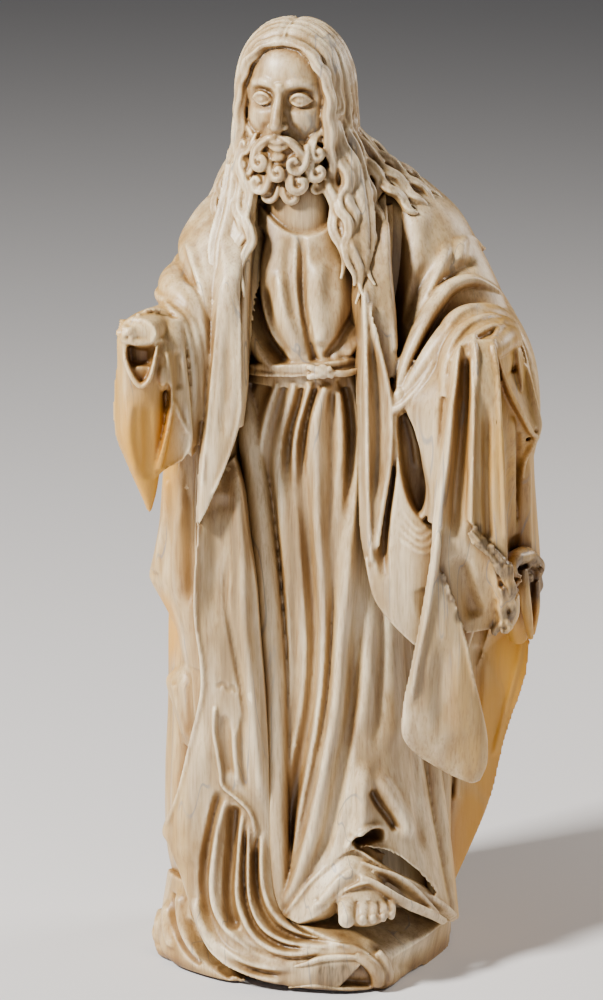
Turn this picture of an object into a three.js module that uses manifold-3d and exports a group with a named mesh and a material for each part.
// A standing robed figure carved from one piece of ivory: a bearded head with long hair, a belted gown, a wide
// mantle that falls over both forearms, a bare foot and a low base. Both hands are broken off.
// Millimetres, +Z up, the figure looks towards -Y, and the origin lies in the flat underside of the base.
import * as THREE from "three";
import { LoftGeometry } from "three/addons/geometries/LoftGeometry.js";
import { mergeVertices } from "three/addons/utils/BufferGeometryUtils.js";
import Module from "manifold-3d";

const wasm = await Module();
wasm.setup();

// Driving dimensions
const HEIGHT = 300;
const BASE_TOP = 12;
const HEAD = { width: 29, depth: 36, height: 42, turn: -17, centre: [-6.5, -3, HEIGHT - 22.5] };
const HAIR = 4.5;
const CLOTH = 3;
const CELL = { across: 8, along: 20 };

const lerp = THREE.MathUtils.lerp;
const smooth = (t) => THREE.MathUtils.smoothstep(t, 0, 1);
const listOf = (value) => (Array.isArray(value) ? value : [value]);
const distance = (a, b) => Math.hypot(a[0] - b[0], a[1] - b[1], a[2] - b[2]);

// The point at share t of a smooth curve through a list of points, each a list of numbers.
function along(points, t) {
  const last = points.length - 1;
  if (last === 0) return points[0];
  const i = Math.min(last - 1, Math.floor(t * last));
  const f = t * last - i;
  const [a, b] = [points[i], points[i + 1]];
  const before = points[Math.max(0, i - 1)];
  const after = points[Math.min(last, i + 2)];
  return a.map((p, k) => {
    const m0 = (b[k] - before[k]) / 2;
    const m1 = (after[k] - a[k]) / 2;
    return (
      p * (2 * f ** 3 - 3 * f ** 2 + 1) +
      m0 * (f ** 3 - 2 * f ** 2 + f) +
      b[k] * (3 * f ** 2 - 2 * f ** 3) +
      m1 * (f ** 3 - f ** 2)
    );
  });
}

// The value at share t of a list of numbers, or of one number.
const valueAlong = (values, t) => along(listOf(values).map((v) => [v]), t)[0];

// One carved fold: a ridge of the given rise and half width along a smooth line of (x, z) points.
// A negative rise is a groove. It fades out over a share of its length at both ends.
// height gives its rise at a point, and at gives the x of its line at a height.
function fold(rise, width, points, fade = [0.2, 0.2]) {
  const steps = 4 * (points.length - 1);
  const line = Array.from({ length: steps + 1 }, (_, i) => along(points, i / steps));
  const at = (z) => {
    const i = line.findIndex((p) => p[1] < z);
    if (i <= 0) return line[i < 0 ? steps : 0][0];
    const [a, b] = [line[i - 1], line[i]];
    return lerp(a[0], b[0], (a[1] - z) / (a[1] - b[1]));
  };
  const height = (x, z) => {
    let nearest = Infinity;
    let share = 0;
    for (let i = 0; i < steps; i++) {
      const [a, b] = [line[i], line[i + 1]];
      const [dx, dz] = [b[0] - a[0], b[1] - a[1]];
      const f = THREE.MathUtils.clamp(
        ((x - a[0]) * dx + (z - a[1]) * dz) / (dx * dx + dz * dz), 0, 1);
      const gap = Math.hypot(x - a[0] - f * dx, z - a[1] - f * dz);
      if (gap < nearest) {
        nearest = gap;
        share = (i + f) / steps;
      }
    }
    const d = Math.min(1, nearest / width);
    const ends = smooth(share / fade[0]) * smooth((1 - share) / fade[1]);
    return rise * ends * (1 - d * d) ** 2;
  };
  return { height, at };
}

const reliefOf = (folds) => (x, z) => folds.reduce((sum, f) => sum + f.height(x, z), 0);

// Where the columns of a row stand between its edges, from 0 to 1: on every fold's crest, and spread between.
function columnsOf(folds, count, l, r) {
  const level = (l[2] + r[2]) / 2;
  const marks = folds.map((f) => THREE.MathUtils.clamp((f.at(level) - l[0]) / (r[0] - l[0]), 0.04, 0.96));
  const rest = Math.max(0, count - marks.length);
  const spread = Array.from({ length: rest }, (_, i) => (i + 0.5) / rest);
  const inner = [...marks, ...spread].sort((a, b) => a - b);
  return [0, ...inner.map((u, i) => u + 1e-3 * i), 1.001 + 1e-3 * inner.length].map((u, i, all) => u / all.at(-1));
}

// A closed three.js geometry as a manifold-3d solid.
function solidOf(geometry) {
  const bare = new THREE.BufferGeometry()
    .setAttribute("position", geometry.attributes.position)
    .setIndex(geometry.index);
  const merged = mergeVertices(bare, 1e-4);
  return new wasm.Manifold(new wasm.Mesh({
    numProp: 3,
    vertProperties: merged.attributes.position.array,
    triVerts: new Uint32Array(merged.index.array),
  }));
}

// A closed solid through rings of points, ordered from the lowest ring to the highest.
function loft(sections) {
  const rings = sections.map((ring) => ring.map((p) => new THREE.Vector3(...p)));
  return solidOf(new LoftGeometry(rings, { closed: true, capStart: true, capEnd: true }));
}

// A length of cloth between two edges that run from top to bottom. Its face swells out between them and carries
// folds, and lift raises the middle of its upper and lower edge. A sheet is folded behind as it is in front;
// cloth with carving behind it has a plain back, hidden inside the figure.
function panel({ left, right, swell = 0, folds = [], thick = CLOTH, lift = [0, 0], sheet = false, cell = CELL }) {
  const relief = reliefOf(folds);
  const widest = Math.max(...left.map((p, i) => distance(p, along(right, i / (left.length - 1)))));
  const tall = left.slice(1).reduce((sum, p, i) => sum + distance(p, left[i]), 0);
  const inner = Math.max(4, Math.round(widest / cell.across), folds.length);
  const down = Math.max(1, Math.round(tall / cell.along));
  const sections = [];
  for (let j = 0; j <= down; j++) {
    const v = 1 - j / down;
    const [l, r] = [along(left, v), along(right, v)];
    const length = Math.hypot(r[0] - l[0], r[1] - l[1]);
    const out = [(r[1] - l[1]) / length, (l[0] - r[0]) / length];
    const [bulge, depth] = [valueAlong(swell, v), valueAlong(thick, v)];
    const place = (u, relief, behind) => {
      const arch = 4 * u * (1 - u);
      const [x, y] = [lerp(l[0], r[0], u), lerp(l[1], r[1], u)];
      const z = lerp(l[2], r[2], u) + arch * lerp(lift[0], lift[1], v);
      const rise = bulge * Math.sqrt(arch) + relief(x, z) - behind;
      return [x + out[0] * rise, y + out[1] * rise, z];
    };
    const columns = columnsOf(folds, inner, l, r);
    const front = columns.map((u) => place(u, relief, 0));
    const back = sheet ? columns.map((u) => place(u, relief, depth)) : [0, 0.5, 1].map((u) => place(u, () => 0, depth));
    sections.push([...front, ...back.reverse()]);
  }
  return loft(sections);
}

// A roll of cloth or a lock of hair: an oval section carried along a smooth path, with one pair of half widths
// for each place in sizes, the first to the side and the second outwards. wave sways it from side to side.
function roll({ path, sizes, facing = [0, -1, 0], sides = 5, steps = 5, wave = [0, 0] }) {
  const front = new THREE.Vector3(...facing);
  const frame = (t) => {
    const [a, b] = [Math.max(0, t - 0.01), Math.min(1, t + 0.01)].map((s) => new THREE.Vector3(...along(path, s)));
    const side = new THREE.Vector3().crossVectors(front, b.clone().sub(a)).normalize();
    return { tangent: b.sub(a).normalize(), side };
  };
  const sections = [];
  for (let j = 0; j <= steps; j++) {
    const t = j / steps;
    const { tangent, side } = frame(t);
    const up = new THREE.Vector3().crossVectors(tangent, side);
    const sway = wave[0] * Math.sin(2 * Math.PI * wave[1] * t) * smooth(3 * t);
    const centre = new THREE.Vector3(...along(path, t)).addScaledVector(side, sway);
    const [wide, high] = along(sizes, t);
    sections.push(Array.from({ length: sides }, (_, i) => {
      const angle = (2 * Math.PI * (i + 0.5)) / sides;
      return centre.clone()
        .addScaledVector(side, wide * Math.cos(angle))
        .addScaledVector(up, high * Math.sin(angle))
        .toArray();
    }));
  }
  return loft(sections);
}

// A rounded lump, such as a curl or a toe: a squashed ball.
function lump(centre, half, [wide, high] = [7, 4]) {
  return solidOf(new THREE.SphereGeometry(1, wide, high)
    .rotateX(Math.PI / 2)
    .scale(...half)
    .translate(...centre));
}

// A solid drawn up through ovals, each [height, left, right, front, back], with folds on its back. Every other
// side of a ring stands back by the share flute, which cuts locks of hair into it.
function column(levels, { around, up, folds = [], square = 0.85, flute = 0 }) {
  const relief = reliefOf(folds);
  const corner = (value) => Math.sign(value) * Math.abs(value) ** square;
  const sections = [];
  for (let j = 0; j <= up; j++) {
    const [z, left, right, front, back] = along(levels, j / up);
    const ring = [];
    for (let i = 0; i < around; i++) {
      const angle = (2 * Math.PI * i) / around;
      const [c, s] = [Math.cos(angle), Math.sin(angle)];
      const stand = 1 - flute * (i % 2);
      const x = lerp(left, right, 0.5 + 0.5 * stand * corner(c));
      const y = s < 0 ? front * corner(-s) : back * corner(s) + relief(x, z) * s;
      ring.push([x, y * stand, z]);
    }
    sections.push(ring);
  }
  return loft(sections);
}

const join = (solids) => solids.reduce((whole, next) => whole.add(next));

// The body of the mantle, with the long folds of its back.
function mantleBody() {
  const levels = [
    [4, -42, 38, -20, 40], [30, -41, 38, -16, 41], [60, -43, 40, -14, 41], [90, -43, 44, -12, 40],
    [120, -42, 50, -10, 39], [150, -41, 56, -10, 38], [180, -38, 58, -10, 37], [205, -37, 56, -12, 35],
    [222, -38, 52, -13, 32], [234, -36, 43, -12, 28], [243, -29, 33, -10, 23], [251, -16, 22, -6, 17],
  ];
  const folds = [
    fold(5, 9, [[-30, 226], [-26, 150], [-31, 70], [-32, 6]]),
    fold(-5, 7, [[-20, 222], [-15, 150], [-17, 70], [-20, 6]]),
    fold(5, 9, [[-8, 205], [-5, 140], [-6, 70], [-9, 6]]),
    fold(-5, 7, [[6, 215], [7, 150], [6, 70], [4, 6]]),
    fold(5, 9, [[20, 225], [18, 150], [18, 70], [17, 6]]),
    fold(-5, 7, [[33, 222], [31, 150], [28, 80], [27, 6]]),
    fold(4, 8, [[44, 210], [42, 150], [38, 80], [34, 6]]),
  ];
  return column(levels, { around: 26, up: 11, folds });
}

// The low rough base, with the corner that stands out under the figure's toes.
function base() {
  const outline = [
    [-48, -6], [-40, -19], [-17, -33], [5, -40], [21, -44], [28, -33], [37, -14], [44, 5], [40, 26], [21, 40],
    [-8, 43], [-34, 31], [-46, 13],
  ];
  const ring = (z, share) => outline.map(([x, y]) => [x * share, y * share, z - (z > 8 ? x * 0.05 : 0)]);
  return loft([ring(0, 1), ring(7, 1), ring(BASE_TOP, 0.95)]);
}

// The gown above the belt, with its round neckline and the soft folds drawn in at the waist.
function bodice() {
  const cloth = panel({
    left: [[-19, -6, 246], [-21, -10, 228], [-22, -12, 208], [-22, -12, 190]],
    right: [[13, -6, 246], [19, -8, 226], [20, -10, 208], [20, -12, 190]],
    swell: [10, 14, 17, 15],
    thick: 20,
    folds: [
      fold(-5, 3.5, [[-18, 238], [-19, 218], [-15, 203], [-8, 196]], [0.1, 0.1]),
      fold(3, 3.5, [[-21, 216], [-19, 204], [-13, 197]]),
      fold(-2, 3, [[-15, 224], [-12, 209], [-7, 198]]),
      fold(-3, 3, [[-4, 238], [-4, 219], [-2, 207], [0, 198]]),
      fold(1.6, 5, [[6, 226], [5, 212], [1, 200]]),
      fold(-2.5, 3, [[15, 222], [11, 210], [3, 198]]),
      fold(2.5, 4, [[18, 214], [14, 205], [7, 198]]),
    ],
    cell: { across: 5, along: 14 },
  });
  const neckline = lump([-4, -16, 250], [13.5, 22, 14], [12, 8]);
  return cloth.subtract(neckline);
}

// The gown below the belt. Its hem lifts over the foot.
function skirt() {
  return panel({
    left: [[-19, -12, 192], [-23, -9, 170], [-20, -9, 131], [-17, -9, 92], [-15, -9, 52], [-13, -14, 16]],
    right: [[18, -14, 193], [24, -14, 170], [27, -14, 140], [32, -12, 100], [35, -12, 60], [42, -10, 12]],
    swell: [14, 17, 19, 20, 22, 21],
    lift: [0, 29],
    thick: 16,
    folds: [
      fold(-4, 4, [[-15, 190], [-19, 177], [-20, 166]]),
      fold(-5, 3.5, [[-10, 190], [-13, 177], [-15, 162], [-12, 136], [-12, 110], [-12, 70], [-12, 40]], [0.1, 0.1]),
      fold(-4, 3.2, [[-4, 191], [-6, 183], [-8, 174], [-9, 166]], [0.05, 0.4]),
      fold(-4, 3, [[0, 191], [-3, 182], [-4, 172]], [0.05, 0.4]),
      fold(3, 4, [[1, 190], [0, 180], [0, 136], [-1, 112], [-3, 84], [-5, 62]]),
      fold(-5, 4, [[-3, 150], [-3, 128], [-2, 92], [-5, 70], [-8, 52], [-12, 30]], [0.3, 0.05]),
      fold(-4, 3, [[8, 191], [10, 187], [11, 174], [10, 161], [8, 136]], [0.05, 0.3]),
      fold(5.5, 6, [[11, 168], [9.5, 136], [6, 104], [5, 78], [1, 58], [-5, 35], [-12, 22]]),
      fold(-4, 5, [[17, 134], [14, 98], [11, 75], [6, 50]]),
      fold(3, 9, [[22, 130], [23, 95], [24, 66]]),
      fold(3, 3.5, [[16, 62], [22, 54], [29, 46], [28, 42]]),
      fold(-5, 4.5, [[15, 48], [20, 48], [25, 45]]),
    ],
  });
}

// The flat belt and its knot.
function belt() {
  const band = panel({
    left: [[-23, -16, 196], [-23, -16, 192]],
    right: [[21, -15, 199], [20, -15, 194]],
    swell: 14.5,
    thick: 4,
    cell: { across: 7, along: 5 },
  });
  return join([band, lump([2, -31, 196.5], [4.5, 2, 3])]);
}

// The mantle's front edge on the figure's right: a smooth band that turns under at the hip.
function rightBand() {
  return panel({
    left: [[-29, -14, 236], [-31, -27, 219], [-33, -31, 199], [-34, -33, 178], [-35.5, -34, 158], [-36.5, -32, 140]],
    right: [[-19, -14, 236], [-22, -28, 212], [-22, -33, 190], [-24, -35, 172], [-29, -37, 160], [-35, -36, 146]],
    swell: [2, 3, 3, 2.5, 2, 0.5],
    thick: [10, 10, 7, 6, 6, 6],
  });
}

// The long fall below that band, down to the cloth that spreads over the base.
function rightFall() {
  return panel({
    left: [
      [-34, -22, 170], [-37, -30, 138], [-36, -30, 110], [-38, -28, 82], [-45, -24, 52], [-41, -27, 30], [-40, -24, 6],
    ],
    right: [
      [-26, -22, 170], [-23, -30, 140], [-19, -33, 112], [-16, -34, 80], [-13, -34, 50], [-10, -37, 27], [-2, -40, 10],
    ],
    swell: [1, 1, 2, 3, 3, 4, 2],
    thick: 16,
    folds: [
      fold(3, 4, [[-26, 165], [-23, 142], [-19, 116], [-16, 92], [-15, 60], [-14, 43], [-10, 26]], [0.1, 0.05]),
      fold(-3, 4, [[-31, 150], [-30, 125], [-27, 108]]),
      fold(3, 5, [[-34, 118], [-33, 95], [-36, 72], [-42, 50], [-38, 30], [-32, 18]]),
      fold(-5, 3.5, [[-29, 62], [-32, 46], [-32, 30], [-28, 20]]),
      fold(3.5, 4, [[-28, 64], [-29, 44], [-28, 28], [-22, 16]]),
      fold(-5, 3.5, [[-24, 58], [-25, 40], [-24, 24], [-20, 18]]),
      fold(3.5, 3.5, [[-20, 60], [-21, 44], [-20, 28], [-14, 17]]),
      fold(-4, 3, [[-17, 58], [-17, 42], [-15, 28], [-8, 18]]),
    ],
    cell: { across: 4, along: 17 },
  });
}

// The outer side of the mantle on the figure's right, with its zigzag edge.
function rightSide() {
  return panel({
    left: [
      [-36, 8, 240], [-41, -2, 218], [-40, -6, 190], [-46, -8, 156], [-51, -8, 128], [-45, -9, 110], [-47, -7, 88],
      [-47, -4, 60], [-48, -6, 40], [-41, -4, 14],
    ],
    right: [
      [-24, -8, 242], [-29, -16, 218], [-30, -18, 190], [-31, -20, 156], [-32, -20, 128], [-32, -22, 100],
      [-32, -22, 76], [-34, -22, 56], [-36, -22, 36], [-36, -22, 14],
    ],
    swell: 3,
    thick: 10,
    folds: [
      fold(3, 4, [[-45, 160], [-48, 128], [-42, 112]]),
      fold(-3, 4, [[-38, 175], [-39, 140], [-38, 110]]),
      fold(-2.5, 4, [[-44, 105], [-42, 90], [-42, 70]]),
    ],
  });
}

// The cloth that sweeps round over the base to the curl at its front corner.
function pooledCloth() {
  const facing = [0, -0.5, 0.9];
  const sizes = [[3, 2.6], [3.4, 3], [3.2, 3], [3, 2.6], [2.4, 2]];
  return join([
    roll({ path: [[-14, -36, 42], [-10, -38, 25], [-4, -41, 18], [8, -43, 15], [17, -44, 13.5]], sizes, facing }),
    roll({ path: [[-20, -35, 40], [-18, -38, 24], [-11, -41, 16], [2, -44, 12], [14, -45, 11]], sizes, facing }),
    roll({
      path: [[-33, -26, 26], [-31, -29, 16], [-22, -34, 9], [-6, -39, 7], [10, -42, 6]],
      sizes: [[4, 3], [5, 4.5], [6, 5], [6, 5], [5, 4.5]],
      facing,
    }),
    roll({
      path: [[2, -42, 8], [10, -44, 8.5], [19, -44, 7], [25, -42, 5]],
      sizes: [[4, 4], [5, 5], [5, 5], [3, 3]],
      facing,
    }),
    roll({
      path: [[-44, -8, 22], [-47, -11, 12], [-42, -18, 7], [-32, -26, 6]],
      sizes: [[3, 2.5], [4, 4], [5, 5], [5, 5]],
      facing: [-0.5, -0.6, 0.6],
    }),
  ]);
}

// The raised right forearm, broken off at the wrist, with its rolled folds and hanging sleeves.
function rightArm() {
  const forearm = roll({
    path: [[-34, -4, 204], [-44, -20, 209], [-50, -34, 212.5], [-54, -44, 214]],
    sizes: [[11, 10], [9, 9], [7, 6], [5, 4]],
    facing: [0, 0, 1],
    sides: 8,
    steps: 4,
  });
  const rolls = [
    [[-29, -4, 240], [-38, -4, 234], [-43, -10, 227], [-40, -20, 219], [-36, -26, 204], [-34, -28, 188]],
    [[-33, -4, 228], [-46, -12, 220], [-51, -24, 215], [-47, -33, 206], [-42, -33, 190]],
  ].map((path) => roll({
    path,
    sizes: [[3, 3], [4.8, 4.4], [5.2, 4.8], [4.6, 4.2], [3, 3]],
    facing: [-0.5, -0.7, 0.5],
  }));
  const mantleEdge = panel({
    left: [[-45, -30, 212], [-45, -34, 196], [-46, -35, 180], [-48.5, -34, 163]],
    right: [[-34, -14, 214], [-33, -18, 196], [-34, -24, 180], [-40, -28, 164]],
    swell: [3, 3, 3, 2],
    thick: [8, 6, 5, 4],
    sheet: true,
    folds: [fold(2, 3, [[-42, 208], [-39, 190], [-37, 172]]), fold(-2, 3, [[-43, 192], [-42, 180], [-42, 168]])],
  });
  const sleeve = panel({
    left: [[-57, -42, 211], [-59.5, -38, 195], [-59.5, -34, 174], [-51.5, -30, 152.5]],
    right: [[-46, -34, 211], [-46, -30, 195], [-46, -25, 174], [-50, -28, 153]],
    swell: [3, 3.5, 3, 0.5],
    thick: [12, 12, 6, 2.5],
  });
  const cuff = lump([-52.5, -45, 203.5], [4.6, 7, 6]);
  return join([forearm, ...rolls, mantleEdge, sleeve]).subtract(cuff);
}

// The mantle's front edge on the figure's left, a band that widens into a swag with a deep pocket.
function leftBand() {
  return panel({
    left: [[13, -14, 240], [14, -29, 218], [15, -35, 194], [16, -38, 173], [17, -40, 150], [21, -40, 127]],
    right: [[24, -10, 244], [25, -22, 218], [25.5, -32, 196], [26, -36, 174], [26, -36, 150], [30, -36, 127]],
    swell: [2, 2, 2.5, 2.5, 2.5, 2],
    thick: [12, 12, 10, 10, 10, 10],
    folds: [
      fold(2, 2.5, [[14, 216], [15.5, 190], [17, 165], [18, 140]]),
      fold(2, 2.5, [[19, 216], [23, 198], [24.5, 180], [23, 160]]),
    ],
  });
}

function leftSwag() {
  return panel({
    left: [[23, -26, 192], [20, -33, 172], [17, -38, 150], [19, -39, 136], [25, -40, 120], [33, -41, 110]],
    right: [[44, -28, 192], [46, -36, 172], [47, -38, 150], [48, -38, 136], [49, -40, 122], [48, -40, 110]],
    swell: [3, 2, 1, 2, 2, 1],
    thick: [16, 16, 14, 12, 8, 4],
    folds: [
      fold(-9, 5.5, [[29, 184], [31, 172], [33, 158], [35, 147]], [0.25, 0.05]),
      fold(4, 4, [[25, 187], [25, 172], [28, 155], [34, 143], [39, 150], [40, 168], [41, 184]], [0.05, 0.05]),
      fold(-3, 4, [[22, 158], [22, 146], [23, 136]]),
    ],
  });
}

// The left shoulder and arm, with the folds that run together at the bend of the elbow.
function leftArm() {
  const shoulder = panel({
    left: [[20, 4, 254], [24, -10, 238], [25, -20, 218], [25, -28, 202], [25, -35, 184]],
    right: [[34, 10, 247], [49, 4, 232], [57, -4, 215], [61, -14, 203], [56, -30, 188]],
    swell: [2, 5, 7, 8, 6],
    thick: 16,
    folds: [
      fold(5, 4.5, [[58, 211], [51, 216], [42, 216], [36, 206], [30, 195], [25, 186]], [0.05, 0.05]),
      fold(-5, 3.2, [[58, 206], [50, 211], [43, 211], [37, 201], [31, 190]], [0.1, 0.1]),
      fold(4, 4, [[58, 202], [49, 206], [42, 202], [36, 192], [27, 183]], [0.1, 0.05]),
      fold(3, 5, [[42, 236], [36, 222], [31, 208], [26, 192]]),
      fold(-5, 3.2, [[23.5, 248], [23.5, 225], [24.5, 212], [26, 200]], [0.05, 0.1]),
    ],
  });
  const forearm = roll({
    path: [[46, 8, 204], [54, -10, 203], [57, -28, 202], [58, -42, 203]],
    sizes: [[13, 14], [12, 12], [10, 9], [5, 5]],
    facing: [0, 0, 1],
    sides: 8,
    steps: 4,
  });
  return join([shoulder, forearm]);
}

// The long leaf of mantle that hangs from the left forearm.
function leftLeaf() {
  return panel({
    left: [
      [41, -34, 209], [39, -47, 204], [38.5, -51, 186], [36.5, -52, 162], [33.5, -53, 140], [29.5, -52, 112],
      [26.5, -49, 89], [36, -46, 74],
    ],
    right: [
      [56, -34, 211], [56, -47, 205], [52, -50, 186], [49, -51, 162], [47, -51, 140], [48, -49, 116],
      [53.5, -46, 86], [53, -44, 69],
    ],
    swell: [3, 3, 2.5, 2, 2, 2.5, 3, 1],
    thick: [14, 12, 8, 6, 5, 4, 3, 3],
    sheet: true,
    lift: [0, -4],
    folds: [
      fold(3, 3, [[42, 206], [39.5, 190], [37, 155], [33, 125], [29.5, 95]], [0.05, 0.15]),
      fold(3, 3, [[48, 208], [46.5, 190], [43, 160], [40, 136]], [0.05, 0.1]),
      fold(-3, 3, [[44, 204], [42.5, 180], [39.5, 150]]),
      fold(-1.5, 7, [[42, 118], [40, 98], [42, 84]]),
    ],
  });
}

// The broken ends of cloth beside the leaf, the lining behind it and the sleeve's tip.
function leftHangings() {
  const broken = panel({
    left: [[50, -40, 209], [50, -48, 204], [48, -52, 186], [47, -52, 168], [46.5, -52, 154], [51, -49, 140], [56, -46, 124]],
    right: [[60, -34, 208], [61, -42, 202], [60, -44, 186], [59, -43, 168], [60, -41, 152], [60, -40, 138], [60, -38, 122]],
    swell: [2, 3, 3, 3, 2, 1, 1],
    thick: [8, 8, 6, 5, 5, 5, 4],
    folds: [
      fold(2.5, 2.5, [[49, 205], [48.5, 184], [48, 158]], [0.05, 0.1]),
      fold(-2, 3, [[54, 200], [53.5, 178], [54, 156]]),
    ],
  });
  const lining = panel({
    left: [[40, -40, 166], [41, -42, 148], [42, -44, 132], [46, -46, 114]],
    right: [[58, -36, 166], [59, -36, 148], [60, -36, 132], [58, -38, 116]],
    swell: [0, -1, -2, 0],
    thick: 6,
    lift: [0, -3],
  });
  const tip = panel({
    left: [[52, -30, 208], [57, -32, 192], [59, -28, 172], [59, -24, 150], [60, -20, 128], [60, -18, 106]],
    right: [[60, -6, 208], [66, -14, 190], [69.5, -16, 174], [66.5, -12, 158], [70, -10, 128], [68.5, -8, 106]],
    swell: [4, 3, 2, 2, 2, 2],
    thick: [12, 10, 8, 6, 5, 4],
    folds: [
      fold(-5, 3.5, [[60, 202], [62, 196], [64, 190]], [0.2, 0.2]),
      fold(2.5, 3, [[60, 196], [64, 184], [68, 175]], [0.1, 0.1]),
      fold(-3, 3, [[63, 172], [63, 150], [64, 128]]),
    ],
  });
  const side = panel({
    left: [[64, -20, 206], [66, -18, 188], [67, -18, 170], [65, -16, 150], [68, -12, 128], [66, -10, 104]],
    right: [[50, 22, 206], [53, 22, 188], [54, 22, 170], [54, 22, 150], [53, 22, 128], [50, 22, 104]],
    swell: [5, 6, 5, 4, 3, 2],
    thick: 14,
  });
  return join([broken, lining, tip, side]);
}

// The back of the mantle where it flares past the gown on the figure's left.
function leftFlare() {
  return panel({
    left: [[34, 4, 150], [34, -2, 120], [33, -6, 92], [33, -8, 62], [34, -8, 38], [38, -6, 14]],
    right: [[66, 4, 150], [69, 0, 120], [67, -2, 96], [60.5, 0, 68], [52, 0, 40], [42.5, 0, 15]],
    swell: [-2, -3, -3, -3, -2, 0],
    thick: [14, 12, 10, 10, 10, 8],
    folds: [
      fold(-4, 3, [[37, 100], [37, 70], [38, 42]]),
      fold(2.5, 3, [[41, 100], [41, 70], [41, 40]]),
      fold(-3, 3, [[45, 96], [44, 70], [42, 46]]),
    ],
  });
}

// The hem of the gown and the under gown, the left foot and its toes.
function foot() {
  const hems = [
    [[-10, -34, 20], [-4, -36, 27], [4, -36, 35], [12, -36, 41.5], [21, -35, 39], [30, -32, 33], [38, -27, 26], [43, -22, 16]],
    [[18, -37, 34], [26, -36, 27], [35, -31, 20], [43, -23, 15]],
  ].map((path) => roll({ path, sizes: [[2, 2.4], [2, 2.4], [1.8, 2.2]], facing: [0, -0.7, 0.7] }));
  const underGown = panel({
    left: [[8, -32, 42], [2, -36, 32], [2, -38, 20]],
    right: [[24, -30, 40], [26, -34, 32], [26, -30, 22]],
    swell: [3, 5, 5],
    thick: 14,
    lift: [0, 8],
  });
  const instep = roll({
    path: [[13, -24, 31], [13.5, -34, 28], [14.5, -43, 21]],
    sizes: [[8, 8], [8, 6], [7, 3.5]],
    facing: [0, 0, 1],
    sides: 6,
    steps: 3,
  });
  const toes = Array.from({ length: 5 }, (_, i) =>
    lump([9.5 + 3 * i, -45.5 + 0.4 * i * i, 19.5 - 0.3 * i], [i ? 1.8 : 2.4, 4 - 0.4 * i, i ? 2.6 : 3.2], [5, 3]));
  const ground = loft([
    [[-10, -34, 6], [12, -43, 6], [26, -38, 6], [41, -8, 6], [20, 0, 6], [-10, 0, 6]],
    [[-8, -33, 16], [12, -43, 15.6], [23, -38, 14], [38, -8, 12.5], [20, 0, 15], [-8, 0, 15]],
  ]);
  return join([...hems, underGown, instep, ...toes, ground]);
}

// The head stands in its own frame and is turned towards the figure's right.
const turned = (solid) => solid.rotate(0, 0, HEAD.turn).translate(...HEAD.centre);

// A calm, regular face between the hair and a curled, two-pointed beard.
function face() {
  const [w, d, h] = [HEAD.width / 2, HEAD.depth / 2, HEAD.height / 2];
  const skull = lump([0, 1, 0], [w, d, h], [12, 8]);
  const jaw = lump([0, -0.33 * d, -0.55 * h], [0.66 * w, 0.6 * d, 0.48 * h], [8, 5]);
  const brow = lump([0, -0.86 * d, 0.16 * h], [0.56 * w, 0.12 * d, 0.08 * h]);
  const nose = roll({
    path: [[0, -0.87 * d, 0.14 * h], [0, -1.02 * d, -0.08 * h], [0, -1.14 * d, -0.27 * h], [0, -0.9 * d, -0.34 * h]],
    sizes: [[1.4, 1.5], [1.6, 2], [2.3, 2.3], [1.6, 1]],
    steps: 5,
  });
  const eyes = [-1, 1].map((side) => lump([side * 0.33 * w, -0.83 * d, 0.03 * h], [0.16 * w, 0.1 * d, 0.065 * h]));
  const moustache = [-1, 1].map((side) => roll({
    path: [[0.5 * side, -1.02 * d, -0.4 * h], [4 * side, -0.99 * d, -0.5 * h], [7 * side, -0.8 * d, -0.75 * h]],
    sizes: [[1.5, 1.5], [1.9, 1.9], [1.4, 1.4]],
    steps: 4,
  }));
  return join([skull, jaw, brow, nose, ...eyes, ...moustache]);
}

function beard() {
  const mass = lump([0, -10.5, -17], [9, 7.5, 9], [8, 5]);
  const rows = [
    { z: -15, y: -15, x: [-8, 8], r: 3.4 },
    { z: -19, y: -17.5, x: [-3.4, 3.4], r: 3.8 },
    { z: -23.5, y: -15.5, x: [-8, 8], r: 3.4 },
    { z: -28, y: -15, x: [-4, 4], r: 3.4 },
  ];
  const curls = rows.flatMap(({ z, y, x, r }) =>
    x.map((side) => lump([side, y + 0.04 * side * side, z], [r, r, 1.25 * r], [6, 4])));
  return join([mass, ...curls]);
}

// Long hair, parted in the middle: a cap that opens round the face, and its fall to the shoulders.
function hair() {
  const [w, d] = [HEAD.width / 2 + HAIR, HEAD.depth / 2 + HAIR - 1];
  const levels = [
    [-34, -w - 2, w + 1, -7, 19], [-24, -w + 1, w - 1.5, -9, 18], [-9, -w, w, -13, d - 1], [3, -w - 0.5, w + 0.5, -15, d],
    [11, -w + 1.5, w - 1.5, -14.5, d - 1.5], [17, -w + 5, w - 5, -11, d - 6], [21, -w + 10.5, w - 10.5, -6, d - 12],
    [22.5, -w + 16.5, w - 16.5, -2, 2],
  ];
  const opening = lump([0, -21, -9], [12.2, 18, 24.5], [12, 8]);
  return column(levels, { around: 26, up: 8, square: 1, flute: 0.06 }).subtract(opening);
}

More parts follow.
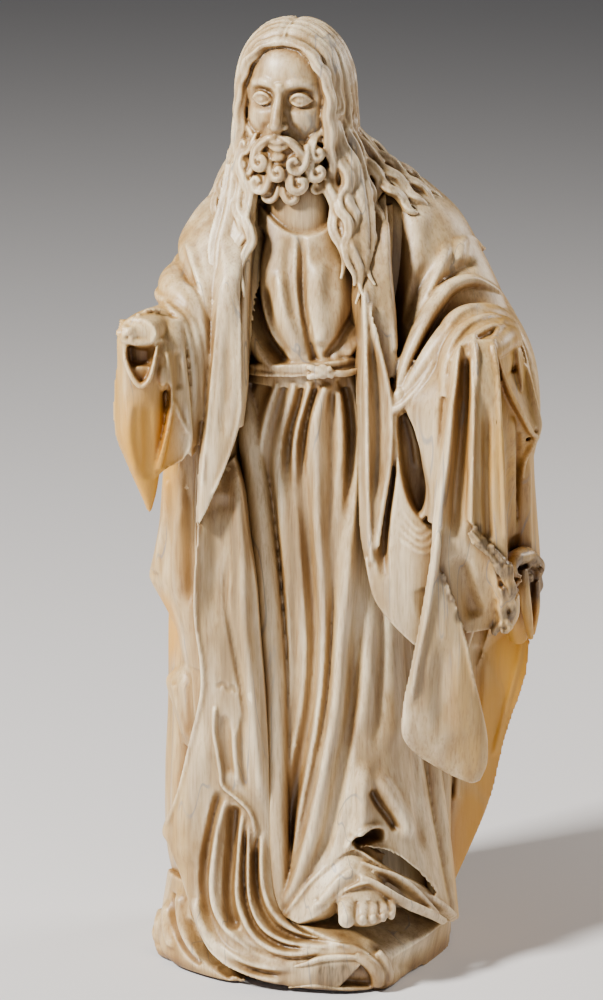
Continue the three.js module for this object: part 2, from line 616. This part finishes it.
// Wavy locks on the chest, over the shoulders and down the back.
function locks() {
  const sizes = [[2.6, 2.2], [3.2, 2.8], [2.8, 2.8], [1.8, 1.8]];
  const front = [
    [[-24, -9, 262], [-23.5, -14, 250], [-20, -20, 236], [-21, -25, 226], [-24, -29, 219]],
    [[-25, -5, 262], [-28, -10, 248], [-29, -16, 236], [-32, -22, 223]],
    [[8, -13, 262], [8.5, -17, 250], [11, -22, 238], [10, -26, 228], [15, -31, 217]],
    [[12, -10, 262], [15, -14, 250], [17, -20, 238], [17, -26, 226], [17, -30, 218]],
  ];
  const over = [
    [[8, -2, 268], [17, -2, 256], [26, -3, 248.5], [35, -3, 242], [41, -2, 236]],
    [[8, 6, 268], [17, 7, 257], [26, 7, 249.5], [35, 7, 243.5], [41, 8, 237]],
  ];
  const back = [-12, -3, 6, 15].map((x, i) => [
    [x * 0.8 - 5, 11, 272], [x - 5, 18.5, 258], [x - 5, 23.5, 241], [x * 0.9 - 4, 29, 224], [x * 0.8 - 4, 34, 208 - 4 * (i % 2)],
  ]);
  const fall = roll({
    path: [[-6, 10, 262], [-5, 13, 246], [-4, 20, 226], [-4, 27, 212]],
    sizes: [[17, 8], [19, 9], [16, 8], [10, 5]],
    facing: [0, 1, 0],
    sides: 8,
    steps: 3,
  });
  return join([
    fall,
    ...front.map((path) => roll({ path, sizes, facing: [0, -1, 0.2], wave: [0.8, 1.5] })),
    ...over.map((path) => roll({ path, sizes, facing: [0, -0.3, 1], sides: 4, steps: 3 })),
    ...back.map((path) => roll({ path, sizes, facing: [0, 1, 0.1], sides: 4, steps: 4 })),
  ]);
}

function neck() {
  return roll({
    path: [[-3, 2, 228], [-4, -2, 244], [-6, -3, 264]],
    sizes: [[16, 16], [11, 11], [9, 9]],
    sides: 10,
    steps: 2,
  });
}

const figure = join([
  mantleBody(), base(), bodice(), skirt(), belt(), rightBand(), rightFall(), rightSide(), pooledCloth(), rightArm(),
  leftBand(), leftSwag(), leftArm(), leftLeaf(), leftHangings(), leftFlare(), foot(), neck(),
  turned(join([face(), beard(), hair()])), locks(),
]);

// Cut flat below, so that the underside of the base is one plane.
const floorCut = solidOf(new THREE.BoxGeometry(400, 400, 100).translate(0, 0, -50));

// The outer skin alone: pockets sealed inside the carving are filled.
const outerSkin = (solid) => solid.decompose().reduce((a, b) => (a.volume() > b.volume() ? a : b));

// A manifold-3d solid as a named three.js mesh.
function meshOf(solid, name, material) {
  const made = solid.getMesh();
  const geometry = new THREE.BufferGeometry()
    .setAttribute("position", new THREE.BufferAttribute(new Float32Array(made.vertProperties), 3))
    .setIndex(new THREE.BufferAttribute(new Uint32Array(made.triVerts), 1));
  geometry.computeVertexNormals();
  const mesh = new THREE.Mesh(geometry, material);
  mesh.name = name;
  return mesh;
}

const ivory = new THREE.MeshStandardMaterial({ color: new THREE.Color(0.86, 0.76, 0.6), roughness: 0.42, metalness: 0 });

const group = new THREE.Group();
group.add(meshOf(outerSkin(figure.subtract(floorCut)), "ivory_figure", ivory));

export default group;
